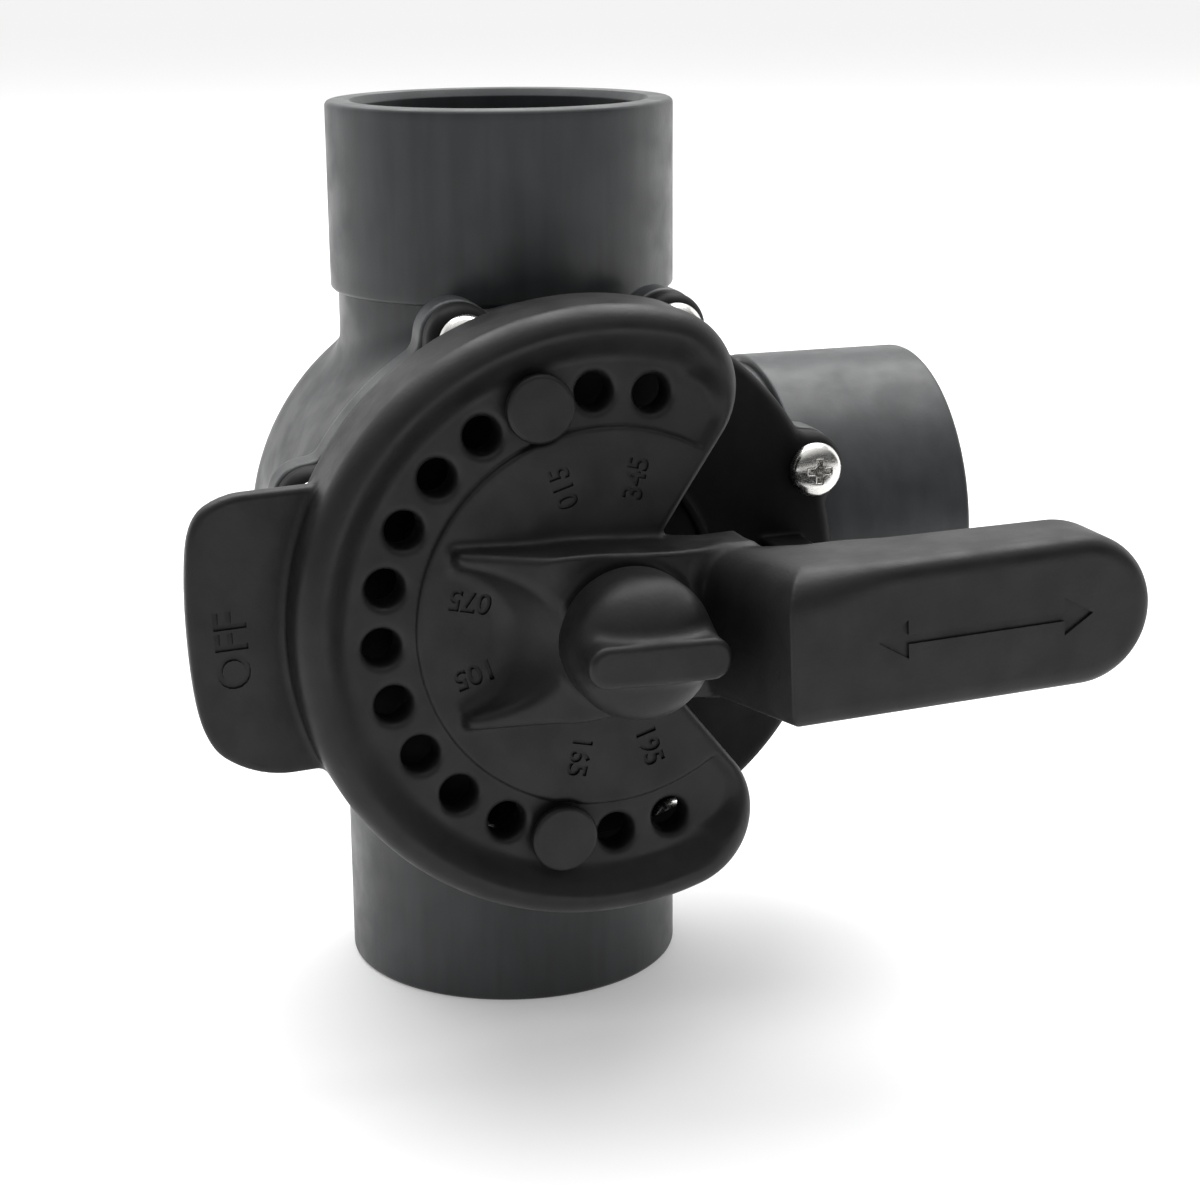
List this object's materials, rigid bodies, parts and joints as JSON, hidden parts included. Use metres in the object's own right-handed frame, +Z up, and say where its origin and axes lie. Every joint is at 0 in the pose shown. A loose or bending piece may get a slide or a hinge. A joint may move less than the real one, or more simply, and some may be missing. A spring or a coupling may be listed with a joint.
{
  "type": "three way diverter valve",
  "caption": "Plastic three way diverter valve with socket ports, a screwed round cover, and a dial handle with stop pins and a wing lock knob.",
  "frame": {"origin": "centre of the flat rear pad, on the stem axis; the port axes cross 42 mm in front of it (-Y)", "axes": "+Z up along the top port, +X towards the side port, +Y out of the back; the handle faces -Y"},
  "size_m": [0.1773, 0.152, 0.1892],
  "materials": {
    "casing_plastic": "satin moulded, dark charcoal",
    "cover_plastic": "satin moulded, near black",
    "handle_plastic": "fine textured, near black",
    "diverter_plastic": "satin moulded",
    "seal_rubber": "matte",
    "bearing_plastic": "smooth, white",
    "stainless_steel": "bright",
    "insert_brass": "turned"
  },
  "bodies": {
    "casing": {"valve_body": "casing_plastic", "cover": "cover_plastic", "cover_oring": "seal_rubber", "cover_screw_1": "stainless_steel", "cover_screw_2": "stainless_steel", "cover_screw_3": "stainless_steel", "cover_screw_4": "stainless_steel", "cover_screw_5": "stainless_steel", "cover_screw_6": "stainless_steel", "cover_screw_7": "stainless_steel", "cover_screw_8": "stainless_steel", "pivot_bushing": "bearing_plastic", "thrust_washer": "bearing_plastic"},
    "rotor": {"diverter": "diverter_plastic", "diverter_seal": "seal_rubber", "stem_oring_lower": "seal_rubber", "stem_oring_upper": "seal_rubber", "stem_stud": "stainless_steel", "handle": "handle_plastic"},
    "upper_pin": {"stop_pin_upper": "handle_plastic"},
    "lower_pin": {"stop_pin_lower": "handle_plastic"},
    "washer": {"knob_washer": "stainless_steel"},
    "knob": {"lock_knob": "handle_plastic", "knob_insert": "insert_brass"}
  },
  "joints": [
    {"name": "handle_turn", "type": "hinge", "parent": "casing", "child": "rotor", "pos_m": [0, -0.042, 0], "axis": [0, -1, 0], "range_deg": [-92.5, 87.5]},
    {"name": "upper_pin_pull", "type": "slide", "parent": "rotor", "child": "upper_pin", "axis": [0, -1, 0], "range_m": [0, 0.02]},
    {"name": "lower_pin_pull", "type": "slide", "parent": "rotor", "child": "lower_pin", "axis": [0, -1, 0], "range_m": [0, 0.02]},
    {"name": "knob_lift", "type": "slide", "parent": "rotor", "child": "washer", "axis": [0, -1, 0], "range_m": [0, 0.0022]},
    {"name": "knob_turn", "type": "hinge", "parent": "washer", "child": "knob", "pos_m": [0, -0.042, 0], "axis": [0, -1, 0], "range_deg": [0, 630]}
  ],
  "couplings": [
    {"joint": "knob_lift", "follows": "knob_turn", "m_per_rad": 0.00019894}
  ]
}
